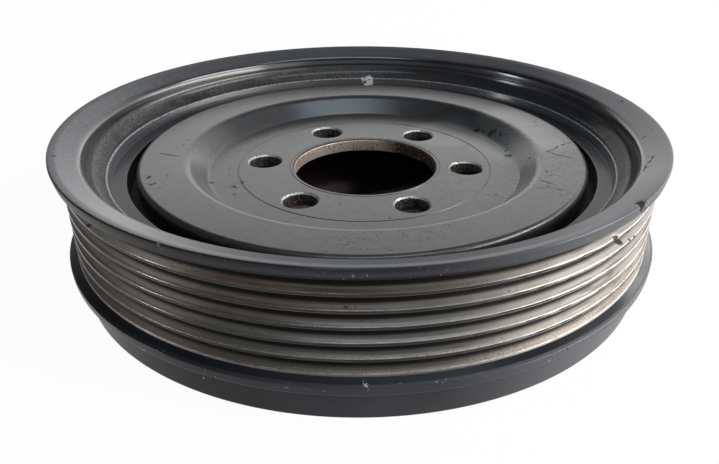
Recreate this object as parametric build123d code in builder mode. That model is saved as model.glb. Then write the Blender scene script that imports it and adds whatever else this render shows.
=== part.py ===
"""Harmonic balancer: a pressed steel hub, a bonded rubber ring and a grooved inertia ring.

Millimetres. Z is the crankshaft's axis, pointing away from the engine, and z = 0 is the
back of the hub, where it seats on the end of the crankshaft.
"""
import os
from math import radians, tan

from build123d import *

os.makedirs("parts", exist_ok=True)

# ---- driving dimensions ----------------------------------------------------------------

# Belt track: V grooves at the pitch of a multi-rib belt, between a front and a back lip.
groove_count = 6
groove_pitch = 3.56
groove_angle = 40
groove_depth = 3.2
land_w = 0.7
end_land_w = 0.5
front_lip_out = 2.4
front_lip_t = 2.75
front_lip_taper = 0.6
front_lip_slope = 1.09
back_lip_out = 2.1
back_lip_t = 2.0
back_lip_taper = 0.15
back_lip_slope = 1.05
lip_round = 0.35

# Plain foot of the inertia ring, behind the back lip.
foot_step = 0.6
foot_h = 7.75
foot_break = 0.4
lip_undercut = 0.5

# Front of the inertia ring: a dished face, a throat down to a ledge, a step and a seat.
groove_wall = 2.0
crown_w = 2.4
crown_drop = 0.7
dish_drop = 2.25
throat_taper = 0.4
throat_fillet = 4.0
ledge_depth = 8.4
ledge_w = 0.3
step_h = 2.4
step_taper = 0.6
seat_w = 3.6

# Rubber, bonded between the bore of the inertia ring and the skirt of the hub.
rubber_t = 2.3
rubber_recess = 4.2
rubber_inset = 1.6
rubber_hollow = 0.7

# Hub, pressed from plate: a flat bolting face sunk in a bowl, a raised flat and a skirt.
plate_t = 3.4
face_depth = 13.4
bore_r = 18.8
bolt_circle_r = 27.05
bolt_hole_r = 4.25
bolt_count = 6
edge_break = 0.45
bowl_r = 40.9
bowl_depth = 4.75
bowl_wall_angle = 45
hub_r = 57.9
hub_h = 22.2
shoulder_round = 1.6
crest_round = 3.0
bowl_round = 1.2
press_round = 0.8

# Lines left by the facing tool: one round the bore, one outside the bolt holes.
bore_line_gap = 1.2
bolt_line_gap = 2.1
line_w = 0.4
line_depth = 0.12

# ---- places worked out from them -------------------------------------------------------

# Radii of the ring, from the hub's skirt outwards.
ring_bore_r = hub_r + rubber_t
step_r = ring_bore_r + seat_w
ledge_r = step_r + step_taper
throat_r = ledge_r + ledge_w + throat_fillet
track_r = throat_r + groove_wall + groove_depth
rim_r = track_r + front_lip_out
back_lip_r = track_r + back_lip_out
foot_r = track_r - foot_step

# Heights of the hub, from its back face up.
raised_z = plate_t + bowl_depth
skirt_end_z = raised_z - hub_h

# Heights of the ring, from its front edge down.
front_z = plate_t + face_depth
ledge_z = front_z - ledge_depth
seat_z = ledge_z - step_h
groove_mouth = groove_pitch - land_w
track_front_z = front_z - front_lip_t - front_lip_slope
first_groove_z = track_front_z - groove_mouth / 2
track_back_z = first_groove_z - (groove_count - 1) * groove_pitch - groove_mouth / 2
back_lip_z = track_back_z - end_land_w - back_lip_slope
lip_back_z = back_lip_z - back_lip_t
back_z = lip_back_z - foot_h


def corner(section, place):
    """The section's corner nearest to the place, given as (radius, height)."""
    return section.vertices().sort_by_distance(place)[0]


# ---- hub -------------------------------------------------------------------------------

crest = (bowl_r + bowl_depth / tan(radians(bowl_wall_angle)), raised_z)
shoulder = (hub_r, raised_z)
skirt_corner = (hub_r - plate_t, raised_z - plate_t)
back_shift = plate_t * tan(radians(bowl_wall_angle / 2))
bolt_line_r = bolt_circle_r + bolt_hole_r + bolt_line_gap

with BuildPart() as hub:
    with BuildSketch(Plane.XZ) as hub_section:
        with BuildLine():
            Polyline(
                (bore_r, 0),
                (bore_r, plate_t),
                (bowl_r, plate_t),
                crest,
                shoulder,
                (hub_r, skirt_end_z),
                (hub_r - plate_t, skirt_end_z),
                skirt_corner,
                (crest[0] + back_shift, raised_z - plate_t),
                (bowl_r + back_shift, 0),
                close=True,
            )
        make_face()
        fillet(corner(hub_section, (bowl_r, plate_t)), bowl_round)
        fillet(corner(hub_section, crest), crest_round)
        fillet(corner(hub_section, shoulder), shoulder_round)
        fillet(corner(hub_section, skirt_corner), press_round)
    revolve(axis=Axis.Z)

    # Bolt holes, and the front edges of the holes and the bore broken.
    with BuildSketch(Plane.XY.offset(plate_t)):
        with PolarLocations(bolt_circle_r, bolt_count):
            Circle(bolt_hole_r)
    extrude(amount=-plate_t, mode=Mode.SUBTRACT)
    rims = hub.edges().filter_by(GeomType.CIRCLE)
    front_rims = rims.filter_by_position(Axis.Z, plate_t, plate_t)
    chamfer(front_rims.filter_by(lambda rim: rim.radius < bolt_circle_r), edge_break)

    # The two turned lines in the bolting face.
    with BuildSketch(Plane.XZ):
        with Locations((bore_r + bore_line_gap, plate_t), (bolt_line_r, plate_t)):
            Rectangle(line_w, 2 * line_depth)
    revolve(axis=Axis.Z, mode=Mode.SUBTRACT)

hub.part.label = "hub"
export_step(hub.part, "parts/hub.step")

# ---- rubber ring -----------------------------------------------------------------------

# Both ends of the rubber shrink to a shallow hollow between the two bonded walls.
rubber_mid_r = (hub_r + ring_bore_r) / 2
rubber_top = seat_z - rubber_recess
rubber_foot = skirt_end_z + rubber_inset

with BuildPart() as rubber_ring:
    with BuildSketch(Plane.XZ):
        with BuildLine():
            Line((hub_r, rubber_foot), (hub_r, rubber_top))
            ThreePointArc(
                (hub_r, rubber_top),
                (rubber_mid_r, rubber_top - rubber_hollow),
                (ring_bore_r, rubber_top),
            )
            Line((ring_bore_r, rubber_top), (ring_bore_r, rubber_foot))
            ThreePointArc(
                (ring_bore_r, rubber_foot),
                (rubber_mid_r, rubber_foot + rubber_hollow),
                (hub_r, rubber_foot),
            )
        make_face()
    revolve(axis=Axis.Z)

rubber_ring.part.label = "rubber_ring"
export_step(rubber_ring.part, "parts/rubber_ring.step")

# ---- pulley ring -----------------------------------------------------------------------

mouth = (throat_r + throat_taper, front_z - dish_drop)
rim_edge = (rim_r, front_z)
front_lip_back = (rim_r - front_lip_taper, front_z - front_lip_t)
back_lip_front = (back_lip_r, back_lip_z)
back_lip_back = (back_lip_r - back_lip_taper, lip_back_z)
foot_edge = (foot_r, back_z)
bore_edge = (ring_bore_r, back_z)

# The V cutter starts outside the lands and ends in a flat root.
flank = tan(radians(groove_angle / 2))
cutter_reach = 1.0
cutter_tip_half = groove_mouth / 2 - groove_depth * flank
cutter_back_half = groove_mouth / 2 + cutter_reach * flank

with BuildPart() as pulley_ring:
    with BuildSketch(Plane.XZ) as ring_section:
        with BuildLine():
            Polyline(
                (throat_r, ledge_z + throat_fillet),
                mouth,
                (rim_r - crown_w, front_z - crown_drop),
                rim_edge,
                front_lip_back,
                (track_r, track_front_z),
                (track_r, track_back_z - end_land_w),
                back_lip_front,
                back_lip_back,
                (foot_r, lip_back_z - lip_undercut),
                foot_edge,
                bore_edge,
                (ring_bore_r, seat_z),
                (step_r, seat_z),
                (ledge_r, ledge_z),
                (throat_r - throat_fillet, ledge_z),
            )
            RadiusArc(
                (throat_r - throat_fillet, ledge_z),
                (throat_r, ledge_z + throat_fillet),
                -throat_fillet,
            )
        make_face()
        for place in (mouth, rim_edge, front_lip_back, back_lip_front, back_lip_back):
            fillet(corner(ring_section, place), lip_round)
        for place in (foot_edge, bore_edge):
            chamfer(corner(ring_section, place), foot_break)
    revolve(axis=Axis.Z)

    with BuildSketch(Plane.XZ):
        with Locations(*[(track_r, first_groove_z - k * groove_pitch) for k in range(groove_count)]):
            Polygon(
                (-groove_depth, cutter_tip_half),
                (-groove_depth, -cutter_tip_half),
                (cutter_reach, -cutter_back_half),
                (cutter_reach, cutter_back_half),
                align=None,
            )
    revolve(axis=Axis.Z, mode=Mode.SUBTRACT)

pulley_ring.part.label = "pulley_ring"
export_step(pulley_ring.part, "parts/pulley_ring.step")
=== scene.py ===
"""Harmonic balancer: the pressed hub, the bonded rubber and the grooved inertia ring.

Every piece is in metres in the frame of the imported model: Z is the crankshaft's axis,
pointing away from the engine, and z = 0 is the back of the hub's bolting face.
"""
from math import cos, pi, radians, sin, tan

import bmesh
import bpy
from mathutils import Euler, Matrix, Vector


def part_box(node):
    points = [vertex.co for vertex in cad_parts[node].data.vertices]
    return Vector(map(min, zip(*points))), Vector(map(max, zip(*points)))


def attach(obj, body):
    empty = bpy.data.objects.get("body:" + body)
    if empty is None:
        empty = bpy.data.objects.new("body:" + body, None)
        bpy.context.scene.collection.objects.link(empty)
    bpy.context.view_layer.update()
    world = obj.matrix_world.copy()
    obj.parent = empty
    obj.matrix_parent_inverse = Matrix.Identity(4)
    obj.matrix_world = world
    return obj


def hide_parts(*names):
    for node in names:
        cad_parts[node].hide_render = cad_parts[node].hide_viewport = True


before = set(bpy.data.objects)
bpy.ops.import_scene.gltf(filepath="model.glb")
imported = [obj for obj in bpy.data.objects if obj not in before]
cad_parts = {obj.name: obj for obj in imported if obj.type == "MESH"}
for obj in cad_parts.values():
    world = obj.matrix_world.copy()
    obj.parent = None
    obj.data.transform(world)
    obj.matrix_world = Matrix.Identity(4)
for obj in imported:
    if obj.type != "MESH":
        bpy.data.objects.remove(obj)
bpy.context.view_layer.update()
MM = 0.001


# ---- hub ---------------------------------------------------------------------------------
# The hub is pressed from steel plate: a flat bolting face sunk in a bowl, a raised flat and
# a skirt turned down at its edge. It is painted dark grey, and then bored, drilled and faced.

longest_chord = 0.35 * MM
fewest_chords = 3
sharp_angle = radians(30)


def arc_corner(before, corner, after, radius):
    """Points of the arc that rounds a corner of an outline; radius 0 keeps the corner."""
    if radius == 0:
        return [corner]
    arm_in = (before - corner).normalized()
    arm_out = (after - corner).normalized()
    half = arm_in.angle(arm_out) / 2
    reach = radius / tan(half)
    centre = corner + (arm_in + arm_out).normalized() * radius / sin(half)
    start = corner + arm_in * reach - centre
    end = corner + arm_out * reach - centre
    chords = max(fewest_chords, round(radius * (pi - 2 * half) / longest_chord))
    return [centre + start.slerp(end, step / chords) * radius for step in range(chords + 1)]


def rounded(corners):
    """A closed outline through corners given as (radius, height, rounding), arcs put in."""
    spots = [Vector((r, z)) for r, z, _ in corners]
    points = []
    for k, (_, _, rounding) in enumerate(corners):
        after = spots[(k + 1) % len(spots)]
        points += arc_corner(spots[k - 1], spots[k], after, rounding)
    return points


def even_turns(count):
    """The angles of a whole turn cut into even steps."""
    return [2 * pi * k / count for k in range(count)]


def lathe(name, outline, turns):
    """A mesh object: the closed outline of (radius, height) points set at each angle of turns."""
    count = len(outline)
    spots = []
    for turn in turns:
        spots += [(r * cos(turn), r * sin(turn), z) for r, z in outline]
    faces = []
    for k in range(len(turns)):
        this, following = k * count, (k + 1) % len(turns) * count
        for i in range(count):
            j = (i + 1) % count
            faces.append((this + i, this + j, following + j, following + i))
    mesh = bpy.data.meshes.new(name)
    mesh.from_pydata(spots, [], faces)
    shell = bmesh.new()
    shell.from_mesh(mesh)
    bmesh.ops.recalc_face_normals(shell, faces=shell.faces)
    shell.to_mesh(mesh)
    shell.free()
    mesh.shade_smooth()
    mesh.set_sharp_from_angle(angle=sharp_angle)
    piece = bpy.data.objects.new(name, mesh)
    bpy.context.scene.collection.objects.link(piece)
    return piece


def even_shading(piece):
    """Flat faces beside small roundings keep flat shading."""
    weights = piece.modifiers.new("even shading", "WEIGHTED_NORMAL")
    weights.keep_sharp = True


hub_low, hub_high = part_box("hub")
hub_r = hub_high.x
raised_z = hub_high.z
skirt_end_z = hub_low.z
plate_t = 3.4 * MM
bore_r = 18.8 * MM
bowl_r = 40.9 * MM
bowl_wall_angle = radians(45)
bolt_circle_r = 27.05 * MM
bolt_hole_r = 4.25 * MM
bolt_count = 6
bore_line_gap = 1.2 * MM
bolt_line_gap = 2.1 * MM
line_w = 0.4 * MM
line_depth = 0.12 * MM
edge_break = 0.45 * MM
edge_round = 0.12 * MM
bowl_round = 1.2 * MM
crest_round = 3.0 * MM
shoulder_round = 1.3 * MM
skirt_end_round = 0.3 * MM
skirt_root_round = 0.8 * MM

crest_r = bowl_r + (raised_z - plate_t) / tan(bowl_wall_angle)
back_shift = plate_t * tan(bowl_wall_angle / 2)
bore_line_r = bore_r + bore_line_gap
bolt_line_r = bolt_circle_r + bolt_hole_r + bolt_line_gap


def turned_line(middle_r):
    """Corners of a shallow line in the bolting face."""
    half = line_w / 2
    return [
        (middle_r - half, plate_t, 0),
        (middle_r - half / 2, plate_t - line_depth, 0),
        (middle_r + half / 2, plate_t - line_depth, 0),
        (middle_r + half, plate_t, 0),
    ]


hub_turns = 360
hub = lathe(
    "hub_pressing",
    rounded([
        (bore_r, 0, edge_round),
        (bore_r, plate_t - edge_break, edge_round),
        (bore_r + edge_break, plate_t, edge_round),
        *turned_line(bore_line_r),
        *turned_line(bolt_line_r),
        (bowl_r, plate_t, bowl_round),
        (crest_r, raised_z, crest_round),
        (hub_r, raised_z, shoulder_round),
        (hub_r, skirt_end_z, skirt_end_round),
        (hub_r - plate_t, skirt_end_z, skirt_end_round),
        (hub_r - plate_t, raised_z - plate_t, skirt_root_round),
        (crest_r + back_shift, raised_z - plate_t, bowl_round),
        (bowl_r + back_shift, 0, crest_round),
    ]),
    even_turns(hub_turns),
)

# The drill for the bolt holes: a plain shank that widens over the broken edge.
drill_past = 1.0 * MM
drill_tip_r = 0.001 * MM
drill_turns = 64
drill = lathe(
    "drill",
    rounded([
        (drill_tip_r, -drill_past, 0),
        (bolt_hole_r, -drill_past, 0),
        (bolt_hole_r, plate_t - edge_break, edge_round),
        (bolt_hole_r + edge_break, plate_t, 0),
        (bolt_hole_r + edge_break + drill_past, plate_t + drill_past, 0),
        (drill_tip_r, plate_t + drill_past, 0),
    ]),
    even_turns(drill_turns),
)
for turn in even_turns(bolt_count):
    drill.location = (bolt_circle_r * cos(turn), bolt_circle_r * sin(turn), 0)
    hole = hub.modifiers.new("bolt hole", "BOOLEAN")
    hole.operation = "DIFFERENCE"
    hole.object = drill
    hole.solver = "EXACT"
    bpy.context.view_layer.update()
    scene_state = bpy.context.evaluated_depsgraph_get()
    drilled = bpy.data.meshes.new_from_object(hub.evaluated_get(scene_state))
    hub.modifiers.remove(hole)
    hub.data = drilled
bpy.data.objects.remove(drill)
hub.data.set_sharp_from_angle(angle=sharp_angle)
even_shading(hub)


class Wire:
    """An output socket among a material's nodes; arithmetic on it adds Math nodes."""

    def __init__(self, nodes, socket):
        self.nodes = nodes
        self.socket = socket

    def math(self, operation, *values):
        """A Math node on the values and wires."""
        named = {f"s{k}": value for k, value in enumerate(values)}
        return self.nodes.node("Math", {"operation": operation}, **named)

    def __add__(self, other):
        return self.math("ADD", self, other)

    def __radd__(self, other):
        return self.math("ADD", other, self)

    def __sub__(self, other):
        return self.math("SUBTRACT", self, other)

    def __rsub__(self, other):
        return self.math("SUBTRACT", other, self)

    def __mul__(self, other):
        return self.math("MULTIPLY", self, other)

    def __rmul__(self, other):
        return self.math("MULTIPLY", other, self)

    def __truediv__(self, other):
        return self.math("DIVIDE", self, other)

    def __or__(self, other):
        return self.math("MAXIMUM", self, other)

    def rise(self, low, high):
        """0 below low, 1 above high, smooth between; low above high turns it round."""
        return self.nodes.node(
            "MapRange", {"interpolation_type": "SMOOTHSTEP"}, s0=self, s1=low, s2=high)

    def band(self, low, high, soft):
        """1 between low and high, fading to 0 over the soft width outside them."""
        return self.rise(low - soft, low) * self.rise(high + soft, high)


class Nodes:
    """The nodes of one material or world."""

    def __init__(self, tree):
        self.tree = tree

    def node(self, kind, settings=None, output=0, **values):
        """Add a node: its settings first, then values or wires by socket, as in s0 or s3."""
        made = self.tree.nodes.new("ShaderNode" + kind)
        for name, value in (settings or {}).items():
            setattr(made, name, value)
        for name, value in values.items():
            self.fill(made.inputs[int(name[1:])], value)
        return Wire(self, made.outputs[output])

    def fill(self, socket, value):
        """Link a wire to a socket, or set its value."""
        if isinstance(value, Wire):
            self.tree.links.new(value.socket, socket)
        elif socket.type == "RGBA":
            socket.default_value = (*value, 1)
        else:
            socket.default_value = value

    def feed(self, node, socket, value):
        """Fill a socket, by name, of a node that the tree already has."""
        self.fill(self.tree.nodes[node].inputs[socket], value)


class Surface(Nodes):
    """A material in the making, and what is known of a point on the piece."""

    def __init__(self, name):
        self.material = bpy.data.materials.new(name)
        self.material.use_nodes = True
        super().__init__(self.material.node_tree)
        self.place = self.node("TexCoord", output=3)
        self.x = self.node("SeparateXYZ", output=0, s0=self.place)
        self.y = self.node("SeparateXYZ", output=1, s0=self.place)
        self.z = self.node("SeparateXYZ", output=2, s0=self.place)
        self.r = self.x.math("SQRT", self.x * self.x + self.y * self.y)
        self.turn = self.y.math("ARCTAN2", self.y, self.x)

    def noise(self, size, detail=3.0):
        """Noise about 0.5, with features of about the given size."""
        return self.node("TexNoise", s0=self.place, s2=1 / size, s3=detail)

    def streaks(self, width, length):
        """Noise drawn out round the axis, as a cutting tool or a running belt leaves it."""
        drift = self.noise(length, detail=1.0) * 6
        across = self.node("CombineXYZ", s0=self.r / width, s1=self.z / width, s2=drift)
        return self.node("TexNoise", s0=across, s2=1.0, s3=2.0)

    def specks(self, size, share):
        """Small separate dots; share is how much of the surface they take."""
        return self.noise(size, detail=1.0).rise(0.72 - share, 0.76 - share)

    def blend(self, share, under, over):
        """Mix two colours by a share from 0 to 1."""
        return self.node("Mix", {"data_type": "RGBA"}, output=2, s0=share, s6=under, s7=over)

    def ragged(self, reach, size):
        """The place on the piece, shaken by up to reach, so that marks get torn edges."""
        shake = self.node("TexNoise", {"normalize": False}, output=1, s0=self.place, s2=1 / size)
        reaches = (reach, reach, reach)
        return self.node("VectorMath", {"operation": "MULTIPLY_ADD"}, s0=shake, s1=reaches, s2=self.place)

    def spot(self, at, middle, size):
        """1 in the middle of a round mark, 0 beyond its size."""
        away = self.node("VectorMath", {"operation": "DISTANCE"}, output=1, s0=at, s1=middle)
        return away.rise(size, size * 0.6)

    def scratch(self, at, start, end, width):
        """1 along the line from start to end, 0 beside it."""
        line = end - start
        along = self.node("VectorMath", {"operation": "SUBTRACT"}, s0=at, s1=start)
        reached = self.node("VectorMath", {"operation": "DOT_PRODUCT"}, output=1, s0=along, s1=line)
        clamped = {"operation": "DIVIDE", "use_clamp": True}
        share = self.node("Math", clamped, s0=reached, s1=line.length_squared)
        foot = self.node("VectorMath", {"operation": "SCALE"}, s0=line, s3=share)
        away = self.node("VectorMath", {"operation": "DISTANCE"}, output=1, s0=along, s1=foot)
        return away.rise(width, width * 0.4)

    def spots(self, at, places):
        """Round marks, each at an angle, radius and height and of a size, as on_part has them."""
        return worst([self.spot(at, on_part(*place), size * MM) for *place, size in places])

    def scratches(self, at, lines):
        """Scratches, each from one place on the part to another and of a half width."""
        return worst([
            self.scratch(at, on_part(*start), on_part(*end), width * MM) for start, end, width in lines])

    def finish(self, height, depth, **inputs):
        """Feed the shader's inputs and a bump; depth is the metres that a height of 1 stands for."""
        for name, value in inputs.items():
            self.feed("Principled BSDF", name.replace("_", " "), value)
        self.feed("Principled BSDF", "Normal", self.node("Bump", s1=depth, s3=height))


def on_part(azimuth, r, z):
    """A place on the part from an angle in degrees and a radius and height in millimetres."""
    turn = radians(azimuth)
    return Vector((r * cos(turn), r * sin(turn), z)) * MM


def worst(marks):
    """The strongest of several marks at each point."""
    found = marks[0]
    for mark in marks[1:]:
        found = found | mark
    return found


# Satin paint over the pressing: a warm grey haze on what faces the front, with turned hairlines.
paint = Surface("hub paint")
black_paint = (0.013, 0.0135, 0.0145)
grey_haze = (0.046, 0.043, 0.039)
haze = paint.noise(13 * MM, detail=4.0)
hairlines = paint.streaks(0.45 * MM, 22 * MM)
grain = paint.noise(0.35 * MM)
swell = paint.noise(7 * MM, detail=2.0)
mottle = paint.noise(2.2 * MM, detail=5.0)
tone = haze * 0.5 + hairlines * 0.7 + grain * 0.6 + mottle * 1.2 - 1.0
colour = paint.blend(tone, black_paint, grey_haze)
rough = 0.12 + haze * 0.14 + hairlines * 0.12 + mottle * 0.1

# A paler patch is painted on one side of the raised flat and the face, a painted sheen where
# light falls there. The two heights are in millimetres, for on_part.
face_height = plate_t / MM
flat_height = raised_z / MM
painted_sheen_grey = (0.15, 0.149, 0.145)
painted_sheen = paint.spot(paint.place, on_part(24, 50, flat_height), 22 * MM)
painted_sheen = painted_sheen | paint.spot(paint.place, on_part(50, 33, face_height), 13 * MM) * 0.6
colour = paint.blend(painted_sheen * (haze + grain * 0.5), colour, painted_sheen_grey)

# The wall of the bowl holds no haze, so it is a bluer black than the flats.
bowl_black = (0.010, 0.012, 0.016)
bowl_wall = paint.r.band(bowl_r + 1.1 * MM, crest_r - 0.35 * MM, 1.2 * MM)
bowl_wall = bowl_wall * paint.z.band(plate_t + 0.3 * MM, raised_z - 0.45 * MM, 0.5 * MM)
colour = paint.blend(bowl_wall * 0.6, colour, bowl_black)

# The skirt and the back keep their paint dark.
sheltered_black = (0.010, 0.010, 0.011)
on_skirt = paint.z.rise(raised_z - 0.95 * MM, raised_z - 2.65 * MM)
on_skirt = on_skirt * paint.r.rise(hub_r - 3.9 * MM, hub_r - 2.9 * MM)
on_back = paint.z.rise(plate_t - 0.8 * MM, plate_t - 1.4 * MM)
colour = paint.blend(on_skirt | on_back, colour, sheltered_black)

# Wiping and fitting has left the paint rippled on one side, with fine strokes outwards.
wiped_grey = (0.19, 0.18, 0.165)
stroke_length = 7 * MM
strokes_per_radian = 150
outwards = paint.node(
    "CombineXYZ",
    s0=paint.turn * strokes_per_radian, s1=paint.r / stroke_length, s2=paint.z / stroke_length)
wiped = paint.turn.band(radians(-24), radians(26), radians(14))
wiped = wiped * paint.r.band(bowl_r - 3.9 * MM, hub_r - 2.9 * MM, 4 * MM)
strokes = paint.node("TexNoise", s0=outwards, s2=1.0, s3=2.0).rise(0.53, 0.66)
strokes = strokes * wiped * paint.noise(6 * MM).rise(0.46, 0.62)
ripples = paint.noise(1.5 * MM, detail=4.0) * wiped
colour = paint.blend(strokes * 0.2, colour, wiped_grey)

# Oily smudges, dark dots and scratches. Places are an angle in degrees, then a radius and a
# height in millimetres, and a smudge's size ends its row.
dirt_black = (0.008, 0.008, 0.008)
torn = paint.ragged(1.0 * MM, 1.4 * MM)
smudges = paint.spots(torn, [
    (41.5, 41.9, 4.4, 1.3), (38.0, 42.0, 4.5, 1.0), (34.2, 42.0, 4.5, 1.5), (32.9, 43.3, 5.8, 0.9),
    (29.5, 43.0, 5.5, 0.8), (18.8, 40.9, 3.5, 1.0), (13.7, 40.1, 3.4, 1.1), (1.6, 43.8, 6.3, 0.8),
    (-157.6, 40.3, 3.4, 1.1), (-153.6, 50.7, 8.1, 0.7), (-154.7, 55.0, 8.1, 1.0),
    (-150.1, 54.9, 8.1, 0.9), (-147.3, 53.6, 8.1, 0.7), (-154.9, 33.3, 3.4, 0.9),
    (-151.1, 35.6, 3.4, 0.9), (-144.4, 36.5, 3.4, 0.7), (27.7, 53.5, 8.1, 0.6), (24.1, 52.2, 8.1, 0.6),
])
dot_size = 0.4
dot_places = [(-112.6, 28.0), (-98.6, 25.0), (-74.5, 32.2), (-25.9, 37.7), (-171.0, 35.7), (141.0, 31.0)]
dots = paint.spots(paint.place, [(*place, face_height, dot_size) for place in dot_places])
soiled = paint.noise(17 * MM, detail=2.0).rise(0.52, 0.66) * paint.specks(0.6 * MM, 0.07)
dirt = soiled * 0.7 | smudges * grain.rise(0.34, 0.5) | dots

wavy = paint.ragged(0.5 * MM, 4 * MM)
scratch_width = 0.28
scratch_ends = [
    ((2.4, 48.2), (6.6, 52.5)), ((6.6, 52.5), (9.6, 57.0)), ((2.4, 48.2), (-0.6, 50.7)),
    ((-0.6, 50.7), (-2.5, 53.6)), ((-13.3, 47.3), (-17.3, 49.0)), ((-24.5, 49.7), (-25.2, 53.1)),
    ((-19.4, 50.8), (-16.6, 52.5)), ((-10.8, 54.5), (-12.6, 57.0)), ((-21.5, 47.5), (-22.2, 50.6)),
    ((-168.0, 48.0), (-171.0, 53.0)),
]
scratches = paint.scratches(
    wavy, [((*start, flat_height), (*end, flat_height), scratch_width) for start, end in scratch_ends])
colour = paint.blend(dirt | scratches, colour, dirt_black)

# The two turned lines hold dirt.
line_dirt = (0.014, 0.013, 0.012)
sunk = paint.z.rise(plate_t - 0.02 * MM, plate_t - 0.08 * MM)
sunk = sunk * paint.z.rise(plate_t - 0.3 * MM, plate_t - 0.2 * MM)
lines = worst([
    paint.r.band(middle_r - line_w / 2, middle_r + line_w / 2, 0.1 * MM)
    for middle_r in (bore_line_r, bolt_line_r)])
colour = paint.blend(sunk * lines * 0.75, colour, line_dirt)

# The bore is machined bare: coppery with old grease, pitted and sooty over one part.
copper_pit = (0.17, 0.10, 0.075)
copper = (0.56, 0.47, 0.40)
soot_black = (0.014, 0.012, 0.011)
soot_brown = (0.20, 0.11, 0.075)
bore_wall = paint.r.rise(bore_r + 0.2 * MM, bore_r + 0.06 * MM)
soot = paint.turn.band(radians(5), radians(62), radians(26))
soot = soot | paint.turn.band(radians(-60), radians(5), radians(20))
pits = paint.noise(0.5 * MM, detail=4.0)
coppery = paint.blend(pits.rise(0.30, 0.52), copper_pit, copper)
sooty = paint.blend(pits.rise(0.52, 0.68), soot_black, soot_brown)
colour = paint.blend(bore_wall, colour, paint.blend(soot, coppery, sooty))

# The walls of the bolt holes are drilled dark steel, and their broken edges are bright.
drilled_black = (0.020, 0.018, 0.017)
drilled_grey = (0.10, 0.088, 0.078)
rubbed_steel = (0.46, 0.44, 0.41)
hole_reach = bolt_hole_r + edge_break - 0.05 * MM
bore_reach = bore_r + edge_break
by_holes = paint.r.band(bolt_circle_r - hole_reach, bolt_circle_r + hole_reach, 0.05 * MM)
by_bore = paint.r.rise(bore_reach + 0.05 * MM, bore_reach - 0.05 * MM)
hole_wall = by_holes * paint.z.band(0.15 * MM, plate_t - edge_break - 0.05 * MM, 0.12 * MM)
chamfer = paint.z.band(plate_t - edge_break + 0.03 * MM, plate_t - 0.06 * MM, 0.05 * MM)
chamfer = chamfer * (by_holes | by_bore)
drilled_steel = paint.blend(pits.rise(0.4, 0.7), drilled_black, drilled_grey)
colour = paint.blend(hole_wall, colour, drilled_steel)
rubbed = chamfer * grain.rise(0.38, 0.5) * (1 - bore_wall) * by_holes
colour = paint.blend(rubbed, colour, rubbed_steel)

metal = bore_wall * (0.85 - 0.6 * soot) | rubbed * 0.8 | hole_wall * 0.35
cut = bore_wall | hole_wall | chamfer
rough = rough + 0.12 + bore_wall * 0.1 + hole_wall * 0.25 + (dirt | scratches) * 0.4
height = grain * 0.3 + hairlines * 0.7 + swell * 3 + mottle * 2 + strokes * 0.7 + ripples * 26
height = height + cut * pits * 2 - dirt * 0.4 - scratches * 1.5
paint.feed("Principled BSDF", "Specular IOR Level", 0.1)
paint.feed("Principled BSDF", "Coat Roughness", 0.27)
paint.finish(
    height, 0.02 * MM, Base_Color=colour, Metallic=metal, Roughness=rough,
    Coat_Weight=0.84 * (1 - cut) * (1 - (dirt | scratches) * 0.9))
hub.data.materials.clear()
hub.data.materials.append(paint.material)
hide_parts("hub")
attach(hub, "root")


# ---- rubber ring -------------------------------------------------------------------------
# The rubber is moulded and bonded between the skirt and the ring. It lies deep in the gap,
# matt black and dusty.

rubber_black = (0.012, 0.012, 0.012)
rubber_dust = (0.085, 0.078, 0.07)
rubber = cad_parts["rubber_ring"]
dusty = Surface("bonded rubber")
dust = dusty.noise(2.2 * MM, detail=5.0).rise(0.42, 0.72)
crumbs = dusty.specks(0.5 * MM, 0.1)
dusty.finish(
    dusty.noise(0.4 * MM, detail=4.0) + crumbs, 0.03 * MM,
    Base_Color=dusty.blend(dust * 0.5 | crumbs * 0.4, rubber_black, rubber_dust),
    Roughness=0.72 + dust * 0.2)
rubber.data.materials.clear()
rubber.data.materials.append(dusty.material)


# ---- pulley ring -------------------------------------------------------------------------
# The inertia ring is one turned iron ring: a dished front face, a throat with a ledge and a
# seat, six belt grooves between two lips, and a plain foot. It is painted, and the belt has
# worn its ribs to bare metal.

# The bore and the throat, from the skirt of the hub outwards, and their heights.
rubber_t = 2.3 * MM
seat_w = 3.6 * MM
step_taper = 0.6 * MM
ledge_w = 0.3 * MM
throat_fillet = 4.0 * MM
throat_taper = 0.4 * MM
face_depth = 13.4 * MM
ledge_depth = 8.4 * MM
step_h = 2.4 * MM
dish_drop = 2.25 * MM
crown_w = 2.4 * MM
crown_drop = 0.7 * MM

# The belt track, its lips and the foot.
groove_wall = 2.0 * MM
groove_count = 6
groove_pitch = 3.56 * MM
groove_depth = 3.2 * MM
groove_angle = radians(40)
land_w = 0.7 * MM
end_land_w = 0.5 * MM
front_lip_out = 2.4 * MM
front_lip_t = 2.75 * MM
front_lip_taper = 0.6 * MM
front_lip_slope = 1.09 * MM
back_lip_out = 2.1 * MM
back_lip_t = 2.0 * MM
back_lip_taper = 0.15 * MM
back_lip_slope = 1.05 * MM
lip_undercut = 0.5 * MM
foot_step = 0.6 * MM
foot_break = 0.4 * MM

# Roundings.
mouth_round = 2.2 * MM
crown_round = 3.0 * MM
rim_round = 0.5 * MM
lip_round = 0.35 * MM
land_round = 0.24 * MM
root_round = 0.2 * MM
step_round = 0.2 * MM

ring_bore_r = hub_r + rubber_t
step_r = ring_bore_r + seat_w
ledge_r = step_r + step_taper
throat_r = ledge_r + ledge_w + throat_fillet
mouth_r = throat_r + throat_taper
track_r = throat_r + groove_wall + groove_depth
rim_r = track_r + front_lip_out
crown_r = rim_r - crown_w
back_lip_r = track_r + back_lip_out
foot_r = track_r - foot_step

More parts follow.
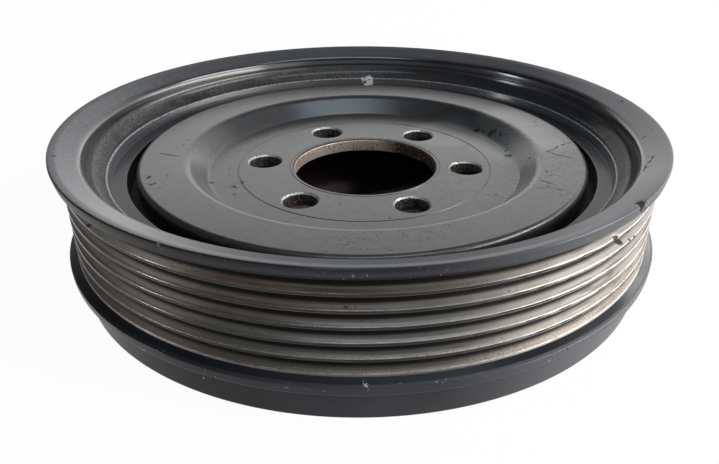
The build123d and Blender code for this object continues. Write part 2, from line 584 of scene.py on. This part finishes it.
front_z = plate_t + face_depth
dish_z = front_z - dish_drop
ledge_z = front_z - ledge_depth
throat_z = ledge_z + throat_fillet
seat_z = ledge_z - step_h
lip_edge_z = front_z - front_lip_t
track_front_z = lip_edge_z - front_lip_slope
back_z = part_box("pulley_ring")[0].z

groove_mouth = groove_pitch - land_w
root_half = groove_mouth / 2 - groove_depth * tan(groove_angle / 2)
grooves = []
for k in range(groove_count):
    middle = track_front_z - groove_mouth / 2 - k * groove_pitch
    grooves += [
        (track_r, middle + groove_mouth / 2, land_round),
        (track_r - groove_depth, middle + root_half, root_round),
        (track_r - groove_depth, middle - root_half, root_round),
        (track_r, middle - groove_mouth / 2, land_round),
    ]
last_land_z = middle - groove_mouth / 2
track_back_z = last_land_z - end_land_w
back_lip_z = track_back_z - back_lip_slope
lip_back_z = back_lip_z - back_lip_t

# The turning steps are finer where the rim is nicked and the track is chipped.
nicked_from, nicked_to = radians(-46), radians(-33)
coarse_turns = 400
coarse_step = 2 * pi / coarse_turns
turns = [turn - pi for turn in even_turns(coarse_turns)]
nicked = [turn for turn in turns if nicked_from < turn < nicked_to]
for part in (0.25, 0.5, 0.75):
    turns += [turn + part * coarse_step for turn in nicked]

ring = lathe(
    "turned_ring",
    rounded([
        (mouth_r, dish_z, mouth_round),
        (crown_r, front_z - crown_drop, crown_round),
        (rim_r, front_z, rim_round),
        (rim_r - front_lip_taper, lip_edge_z, lip_round),
        *grooves,
        (track_r, track_back_z, 0),
        (back_lip_r, back_lip_z, lip_round),
        (back_lip_r - back_lip_taper, lip_back_z, lip_round),
        (foot_r, lip_back_z - lip_undercut, step_round),
        (foot_r, back_z, foot_break),
        (ring_bore_r, back_z, foot_break),
        (ring_bore_r, seat_z, step_round),
        (step_r, seat_z, step_round),
        (ledge_r, ledge_z, step_round),
        (throat_r, ledge_z, throat_fillet - step_round),
        (throat_r, throat_z, 0),
    ]),
    sorted(turns),
)


knock_down = Vector((0, 0, -0.6))


def dent(piece, middle, size, depth):
    """Press the points near a place towards the middle of the ring and a little down."""
    inward = Vector((-middle.x, -middle.y, 0)).normalized() + knock_down
    for point in piece.data.vertices:
        share = (point.co - middle).length / size
        if share < 1:
            point.co += inward * depth * (1 - share ** 2)


rim_nick = on_part(-37.6, 76.0, 16.2)
track_chip = on_part(-41.6, 74.0, 9.75)
dent(ring, rim_nick, 2.0 * MM, 0.55 * MM)
dent(ring, track_chip, 1.3 * MM, 0.45 * MM)
even_shading(ring)

# The paint is black and satin, a little blue, and lies over the lines of turning.
coat = Surface("ring paint")
blue_black = (0.004, 0.0045, 0.0055)
thin_black = (0.014, 0.0145, 0.017)
cloud = coat.noise(11 * MM, detail=4.0)
turned = coat.streaks(0.3 * MM, 40 * MM)
peel = coat.noise(0.7 * MM, detail=2.0)
colour = coat.blend(cloud * 0.8 + turned * 0.5 - 0.2, blue_black, thin_black)

# The dished face is greyer. Seen from -Y it is dusty at the left front, rubbed at the left
# and worn duller at the right front, and its crown is matt but for the right.
dish_grey = (0.043, 0.044, 0.049)
dish_dust = (0.115, 0.115, 0.117)
dish_rub = (0.11, 0.108, 0.10)
on_dish = coat.r.rise(mouth_r, mouth_r + 0.6 * MM) * coat.z.rise(dish_z - 0.35 * MM, dish_z + 0.05 * MM)
colour = coat.blend(on_dish * (cloud * 0.6 + turned * 0.3 + 0.3), colour, dish_grey)
dusty_dish = on_dish * coat.x.band(-42 * MM, -28 * MM, 24 * MM) * coat.y.rise(-35 * MM, -62 * MM)
colour = coat.blend(dusty_dish * (0.3 + cloud * 0.4), colour, dish_dust)
rubbed_dish = on_dish * coat.x.rise(-30 * MM, -66 * MM) * coat.noise(1.2 * MM, detail=5.0).rise(0.50, 0.66)
colour = coat.blend(rubbed_dish * 0.22, colour, dish_rub)
worn_dish = on_dish * coat.x.rise(5 * MM, 50 * MM) * coat.y.rise(-5 * MM, -45 * MM)
crown = on_dish * coat.r.rise(crown_r - 0.5 * MM, crown_r + 0.9 * MM) * coat.x.rise(62 * MM, 40 * MM)
rough = 0.10 + cloud * 0.12 + turned * 0.08 + on_dish * 0.12

# The lip's face and the foot, outside, have a duller coat. Painted shade darkens it towards -X,
# along the lip's two edges and on the foot towards -X, and painted light makes it greyer towards +X.
dull_black = (0.017, 0.017, 0.020)
dull_grey = (0.034, 0.034, 0.039)
shade_left_black = (0.008, 0.008, 0.009)
shade_top_black = (0.006, 0.006, 0.007)
shade_edge_black = (0.002, 0.002, 0.002)
shade_foot_black = (0.001, 0.001, 0.002)
light_right_grey = (0.085, 0.086, 0.092)
lip_face = coat.z.rise(front_z - 0.18 * MM, front_z - lip_round)
lip_face = lip_face * coat.r.rise(rim_r - 1.1 * MM, rim_r - 0.9 * MM)
foot_side = coat.z.rise(lip_back_z, lip_back_z - 0.3 * MM)
foot_side = foot_side * coat.r.rise(foot_r - 0.3 * MM, foot_r - 0.1 * MM)
lip_top = coat.z.rise(front_z - 1.8 * MM, front_z - 0.8 * MM) * coat.x.rise(32 * MM, 12 * MM)
lip_bottom = coat.z.band(lip_edge_z - 0.55 * MM, lip_edge_z + lip_round, 0.3 * MM)
dull_coat_and_shading = coat.blend(cloud * 0.7 + turned * 0.3, dull_black, dull_grey)
dull_coat_and_shading = coat.blend(coat.x.rise(20 * MM, -60 * MM) * 0.8, dull_coat_and_shading, shade_left_black)
dull_coat_and_shading = coat.blend(lip_top * 0.8, dull_coat_and_shading, shade_top_black)
dull_coat_and_shading = coat.blend(lip_bottom, dull_coat_and_shading, shade_edge_black)
dull_coat_and_shading = coat.blend(foot_side * coat.x.rise(10 * MM, -50 * MM) * 0.85, dull_coat_and_shading, shade_foot_black)
dull_coat_and_shading = coat.blend(coat.x.rise(18 * MM, 52 * MM) * 0.75, dull_coat_and_shading, light_right_grey)
outside = lip_face | foot_side
colour = coat.blend(outside, colour, dull_coat_and_shading)

# The fillet of the throat is left as cast: coarse, and grey with dust but for a sector of it.
grime_black = (0.018, 0.018, 0.019)
grime_grey = (0.052, 0.050, 0.048)
in_throat = coat.r.band(ledge_r + ledge_w, throat_r - 0.1 * MM, 0.3 * MM)
in_throat = in_throat * coat.z.rise(throat_z - 0.4 * MM, throat_z - 1.8 * MM)
cast = in_throat * coat.z.rise(ledge_z - 0.4 * MM, ledge_z)
crust = coat.noise(0.6 * MM, detail=5.0)
dusted = 1 - coat.turn.band(radians(25), radians(80), radians(18)) * 0.7
grime = coat.blend(crust.rise(0.34, 0.70), grime_black, grime_grey)
colour = coat.blend(cast * dusted * coat.noise(6 * MM).rise(0.2, 0.55), colour, grime)

# The seat and the step below the ledge lie deep and are dull; the ledge's edge gets a painted highlight.
deep_grey = (0.060, 0.061, 0.066)
ledge_highlight_grey = (0.20, 0.20, 0.205)
deep = coat.z.band(seat_z - 0.5 * MM, ledge_z - 0.15 * MM, 0.1 * MM)
deep = deep * coat.r.band(ring_bore_r, ledge_r, 0.3 * MM)
on_step = deep * coat.z.rise(seat_z + 0.1 * MM, seat_z + 0.3 * MM)
colour = coat.blend(deep * (turned * 0.5 + on_step * 0.3), colour, deep_grey)
ledge_edge = coat.r.band(ledge_r - 0.05 * MM, ledge_r + 0.35 * MM, 0.1 * MM)
ledge_edge = ledge_edge * coat.z.rise(ledge_z - 0.4 * MM, ledge_z - 0.15 * MM)
colour = coat.blend(ledge_edge * crust.rise(0.3, 0.6) * 0.8, colour, ledge_highlight_grey)

# Scratches and chips in the dished face, a nick in the rim, and a scuff of pale paint on the
# ledge. Places are given as on the hub, and a width or size in millimetres ends each row.
gouge_black = (0.009, 0.009, 0.009)
scuff_grey = (0.42, 0.42, 0.42)
jagged = coat.ragged(0.6 * MM, 1.6 * MM)
gouges = coat.scratches(jagged, [
    ((-23.1, 69.8, 14.8), (-13.9, 71.8, 15.4), 0.3),
    ((-18.7, 70.0, 14.9), (-21.0, 71.6, 15.4), 0.22),
    ((-13.6, 69.1, 14.6), (-14.5, 71.0, 15.2), 0.26),
    ((-2.9, 71.5, 15.3), (-4.4, 70.3, 15.0), 0.22),
    ((0.2, 73.1, 15.8), (-1.6, 73.4, 15.9), 0.2),
])
gouges = gouges | coat.spots(jagged, [
    (16.9, 73.8, 16.1, 0.7), (-172.4, 71.0, 15.2, 0.5), (-154.7, 74.6, 16.3, 0.5),
])
nick = coat.spot(jagged, rim_nick, 1.9 * MM)
colour = coat.blend(gouges * 0.85 | nick, colour, gouge_black)
scuff = coat.spot(jagged, on_part(94.5, 64.3, 7.6), 2.6 * MM) * coat.noise(1.1 * MM).rise(0.36, 0.5)
colour = coat.blend(scuff * 0.85, colour, scuff_grey)

# Knocks have bared bright flecks along the lips and the foot, and the back lip has a crack
# in its paint.
bared_grey = (0.28, 0.28, 0.29)
crack_black = (0.006, 0.006, 0.006)
flecked = coat.spots(jagged, [
    (-120.9, 74.5, -11.2, 1.8), (-118.0, 74.5, -11.6, 1.5), (-84.5, 75.5, -8.9, 0.9),
    (-80.7, 75.5, -10.5, 0.6), (-70.5, 73.5, -13.0, 0.7), (-62.9, 73.5, -13.2, 0.7),
    (-110.6, 73.5, -14.5, 0.6), (-36.5, 75.9, 16.0, 1.0),
])
flecks = flecked * coat.noise(0.4 * MM, detail=2.0).rise(0.48, 0.56)
outer_edge = coat.r.rise(back_lip_r - 1.0 * MM, back_lip_r - 0.6 * MM)
chafed = outer_edge * coat.noise(0.8 * MM, detail=4.0).rise(0.66, 0.74)
chafed = chafed | coat.specks(0.35 * MM, -0.05) * 0.5
crack = coat.scratches(coat.place, [((-52.7, 76.0, -9.2), (-52.4, 76.0, -10.2), 0.2)])
colour = coat.blend(flecks | chafed * 0.6, colour, bared_grey)
colour = coat.blend(crack, colour, crack_black)

back_lip_edge = coat.z.rise(back_lip_z + 0.1 * MM, back_lip_z - 0.1 * MM)
back_lip_edge = back_lip_edge * coat.r.rise(back_lip_r - 1.4 * MM, back_lip_r - 0.8 * MM)
back_slope = coat.z.band(back_lip_z, track_back_z, 0.2 * MM) * coat.r.rise(track_r, track_r + 0.3 * MM)
back_slope = back_slope * coat.x.rise(52 * MM, 30 * MM)
matt = cast * 0.7 | outside * 0.85 | deep * 0.7 | on_dish * 0.42 | worn_dish * 0.72
matt = matt | crown * 0.75 | back_lip_edge * 0.8 | back_slope * 0.8
rough = rough + cast * 0.45 + flecks * 0.2 + (gouges | nick) * 0.4
height = turned * (0.35 + deep * 1.2) + peel * 0.3 + cast * crust * 4
height = height - (gouges | nick | crack) * 3 - flecks * 0.6
coat.feed("Principled BSDF", "Specular IOR Level", 0.1)
coat.feed("Principled BSDF", "Coat Roughness", 0.17)
coat.finish(
    height, 0.012 * MM, Base_Color=colour, Metallic=flecks * 0.5, Roughness=rough + 0.15,
    Coat_Weight=(1 - matt) * (1 - (gouges | nick | flecks) * 0.9))

# The belt has worn the flanks bare, and the last groove has rusted. Stains lie on the first
# ribs, and black grease is smeared along one side.
track = Surface("belt track")
worn_steel = (0.29, 0.265, 0.248)
bright_steel = (0.50, 0.475, 0.435)
rust_brown = (0.24, 0.165, 0.105)
stain_brown = (0.26, 0.175, 0.155)
smear_grey = (0.10, 0.10, 0.095)
wear = track.streaks(0.2 * MM, 14 * MM)
spread = track.noise(9 * MM, detail=4.0)
freckles = track.noise(0.3 * MM, detail=3.0)
steel = track.blend(wear * 0.7 + spread * 0.6 - 0.15, worn_steel, bright_steel)
rust = track.z.band(last_land_z, last_land_z + groove_pitch, 0.5 * MM) * freckles.rise(0.42, 0.62) * 0.7
rust = rust | spread.rise(0.55, 0.72) * freckles.rise(0.5, 0.62) * 0.2
steel = track.blend(rust, steel, rust_brown)
stained = track.turn.band(radians(-104), radians(-88), radians(9)) * track.z.rise(1 * MM, 6 * MM)
stained = stained * track.streaks(0.7 * MM, 30 * MM).rise(0.38, 0.6)
steel = track.blend(stained * 0.6, steel, stain_brown)
smeared = track.turn.band(radians(-48), radians(-10), radians(10))
smeared = smeared * track.streaks(0.6 * MM, 16 * MM).rise(0.52, 0.68)
steel = track.blend(smeared * 0.6, steel, smear_grey)

# Painted shade darkens the flanks towards the back lip and beside the lands on the -X side; the
# roots hold dirt and painted shade, and under the front lip is painted shade.
flank_shade = (0.085, 0.080, 0.074)
root_dirt_and_shade = (0.012, 0.011, 0.010)
low_shade = track.z.rise(4 * MM, -8 * MM) * track.x.rise(42 * MM, 16 * MM) * 0.55
edge_shade = track.r.rise(track_r - 0.75 * MM, track_r - 0.35 * MM) * track.x.rise(36 * MM, 12 * MM)
edge_shade = edge_shade * track.z.rise(9.5 * MM, 8 * MM) * 0.5
steel = track.blend(low_shade | edge_shade, steel, flank_shade)
under_lip = track.z.rise(track_front_z - 0.05 * MM, track_front_z + 0.08 * MM)
root = track.r.rise(track_r - 0.85 * MM, track_r - 2.0 * MM) | under_lip
steel = track.blend(root, steel, root_dirt_and_shade)

# The lands keep a dark film over most of the turn, partly real and partly painted shade, thinner
# on the +X side where they are worn and lit; their edges are burnished.
land_grey = (0.17, 0.16, 0.15)
film_and_shade_black = (0.011, 0.011, 0.013)
burnished_steel = (0.60, 0.57, 0.53)
land = track.r.rise(track_r - 0.07 * MM, track_r - 0.02 * MM)
worn_and_lit_side = track.x.rise(18 * MM, 48 * MM)
land_film_and_shade = land * (1 - worn_and_lit_side * track.streaks(0.3 * MM, 10 * MM).rise(0.45, 0.56))
land_film_and_shade = land_film_and_shade * (1 - 0.25 * wear.rise(0.55, 0.7))
land_film_and_shade = land_film_and_shade * track.z.rise(last_land_z - 0.05 * MM, last_land_z + 0.05 * MM)
colour = track.blend(land * 0.6, steel, land_grey)
colour = track.blend(land_film_and_shade, colour, film_and_shade_black)
burnish = track.r.band(track_r - 0.18 * MM, track_r - 0.06 * MM, 0.05 * MM)
burnish = burnish * track.noise(1.2 * MM, detail=4.0).rise(0.3, 0.6)
colour = track.blend(burnish * (0.25 + worn_and_lit_side * 0.3), colour, burnished_steel)

# Stone chips, and dark nicks scattered over the ribs.
chip_black = (0.012, 0.012, 0.012)
broken = track.ragged(0.35 * MM, 0.9 * MM)
chips = track.spot(track.place, track_chip, 1.25 * MM)
chips = chips | track.spots(track.place, [(-38.4, 72.5, 7.1, 1.3)])
chips = chips | track.spots(broken, [
    (-34.3, 73.9, 6.2, 0.8), (-36.0, 73.9, 6.5, 0.7), (-134.1, 73.7, 10.0, 1.0),
    (-87.3, 73.2, 6.9, 0.5), (-75.4, 73.2, 10.7, 0.45), (-114.3, 73.6, 3.8, 0.6),
])
pocks = track.specks(0.5 * MM, 0.06) * track.noise(7 * MM).rise(0.5, 0.62)
marks = chips | pocks * 0.8
colour = track.blend(marks, colour, chip_black)

metal = (1 - root) * (1 - land_film_and_shade * 0.95) * (1 - marks) * (1 - rust * 0.5)
rough = 0.30 + wear * 0.14 + spread * 0.08 + root * 0.3 + rust * 0.25
rough = rough + land * worn_and_lit_side * 0.15 - land_film_and_shade * 0.19 - burnish * 0.05
height = wear * 0.7 + freckles * 0.3 + rust * freckles * 2 - marks * 4
track.feed("Principled BSDF", "Specular IOR Level", 0.25)
track.feed("Principled BSDF", "Anisotropic", 0.75)
track.feed("Principled BSDF", "Anisotropic Rotation", 0.25)
track.finish(height, 0.012 * MM, Base_Color=colour, Metallic=metal, Roughness=rough)

# Faces between the lips, outside the throat's wall, are the belt track.
ring.data.materials.append(coat.material)
ring.data.materials.append(track.material)
track_low = track_back_z - 0.02 * MM
track_high = lip_edge_z - lip_round / 2
track_inner_r = throat_r + groove_wall / 2
track_outer_r = rim_r - front_lip_taper - lip_round / 2
for face in ring.data.polygons:
    place = face.center
    r = (place.x ** 2 + place.y ** 2) ** 0.5
    if track_low < place.z < track_high and track_inner_r < r < track_outer_r:
        face.material_index = 1
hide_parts("pulley_ring")
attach(ring, "root")


# ---- studio ------------------------------------------------------------------------------
# A pale floor under the ring's foot, soft lamps, and the camera close above the near edge.

floor_reach = 2.5
floor_mesh = bpy.data.meshes.new("floor")
floor_mesh.from_pydata(
    [(-floor_reach, -floor_reach, back_z), (floor_reach, -floor_reach, back_z),
     (floor_reach, floor_reach, back_z), (-floor_reach, floor_reach, back_z)],
    [], [(0, 1, 2, 3)])
floor = bpy.data.objects.new("floor", floor_mesh)
bpy.context.scene.collection.objects.link(floor)

# White where it is seen or mirrored, and a plain sheet to the lamps. Under the part's foot the
# floor is a darker brown sheet, painted shade under the ring.
paper_white = (0.8, 0.8, 0.8)
shade_brown = (0.19, 0.14, 0.125)
camera_ray, glossy_ray, transmission_ray = 0, 3, 5
sheet = Surface("floor paper")
seen = worst([sheet.node("LightPath", output=ray) for ray in (camera_ray, glossy_ray, transmission_ray)])
under_foot = sheet.r.rise(foot_r - 1 * MM, foot_r - 2 * MM)
sheet.feed("Principled BSDF", "Base Color", sheet.blend(under_foot, paper_white, shade_brown))
sheet.feed("Principled BSDF", "Roughness", 1.0)
sheet.feed("Principled BSDF", "Specular IOR Level", 0.0)
white_share = 0.96
glow = sheet.node("Emission", s0=(1, 1, 1), s1=1.0)
plain = Wire(sheet, sheet.tree.nodes["Principled BSDF"].outputs[0])
both = sheet.node("MixShader", s0=seen * white_share * (1 - under_foot), s1=plain, s2=glow)
sheet.feed("Material Output", "Surface", both)
floor_mesh.materials.append(sheet.material)

# The room is white round the horizon, and dims towards the ceiling and to one side.
room = bpy.data.worlds.new("room")
room.use_nodes = True
bpy.context.scene.world = room
walls = Nodes(room.node_tree)
sideways = walls.node("SeparateXYZ", output=0, s0=walls.node("TexCoord"))
upward = walls.node("SeparateXYZ", output=2, s0=walls.node("TexCoord"))
ceiling = 0.06
dim_side = 0.3
level = 1 - (1 - ceiling) * upward.rise(sin(radians(4)), sin(radians(30)))
level = level * (1 - (1 - dim_side) * sideways.rise(0.1, -0.7))
walls.feed("Background", "Color", (1, 1, 1))
walls.feed("Background", "Strength", level)


lamp_distance = 1.3


def lamp(name, azimuth, elevation, width, height, radiance, colour=(1, 1, 1)):
    """A soft box that looks at the part; its size is in degrees as the part sees it."""
    box = bpy.data.lights.new(name, "AREA")
    box.shape = "RECTANGLE"
    box.size = 2 * lamp_distance * tan(radians(width / 2))
    box.size_y = 2 * lamp_distance * tan(radians(height / 2))
    box.energy = radiance * pi * box.size * box.size_y
    box.color = colour
    stand = bpy.data.objects.new(name, box)
    bpy.context.scene.collection.objects.link(stand)
    a, e = radians(azimuth), radians(elevation)
    away = Vector((cos(a) * cos(e), sin(a) * cos(e), sin(e)))
    stand.location = away * lamp_distance
    stand.rotation_euler = away.to_track_quat("Z", "Y").to_euler()
    stand.visible_camera = False


lamp("right window", -8, 19, 90, 34, 1.8, (1, 0.985, 0.965))
lamp("right strip", -2, 6, 62, 10, 14.5, (1, 0.985, 0.955))
lamp("right lamp", -6, 33, 40, 15, 13)
lamp("back window", 78, 21, 98, 36, 1.25)
lamp("skylight", -62, 70, 46, 13, 6.5, (0.74, 0.89, 1))
lamp("left strip", -161, 14, 8, 16, 22, (0.97, 0.985, 1))

# The lens is shifted, as the middle of the frame lies a little off the camera's axis.
image_w, image_h = 719, 464
focal_px = 715.3
axis_x_px, axis_y_px = 393.6, 240.4
camera_place = Vector((16.95, -177.45, 78.15)) * MM
yaw, pitch, roll = radians(2.9), radians(28.8), radians(0.82)
camera_data = bpy.data.cameras.new("camera")
camera = bpy.data.objects.new("camera", camera_data)
bpy.context.scene.collection.objects.link(camera)
camera_data.sensor_width = 36
camera_data.lens = focal_px / image_w * camera_data.sensor_width
camera_data.shift_x = (image_w / 2 - axis_x_px) / image_w
camera_data.shift_y = (axis_y_px - image_h / 2) / image_w
camera_data.clip_start = 0.01
camera.location = camera_place
heading = Euler((0, 0, yaw)).to_matrix()
tilt = Euler((pi / 2 - pitch, 0, 0)).to_matrix()
lean = Euler((0, 0, roll)).to_matrix()
camera.rotation_euler = (heading @ tilt @ lean).to_euler()
bpy.context.scene.camera = camera
bpy.context.scene.view_settings.view_transform = "Standard"
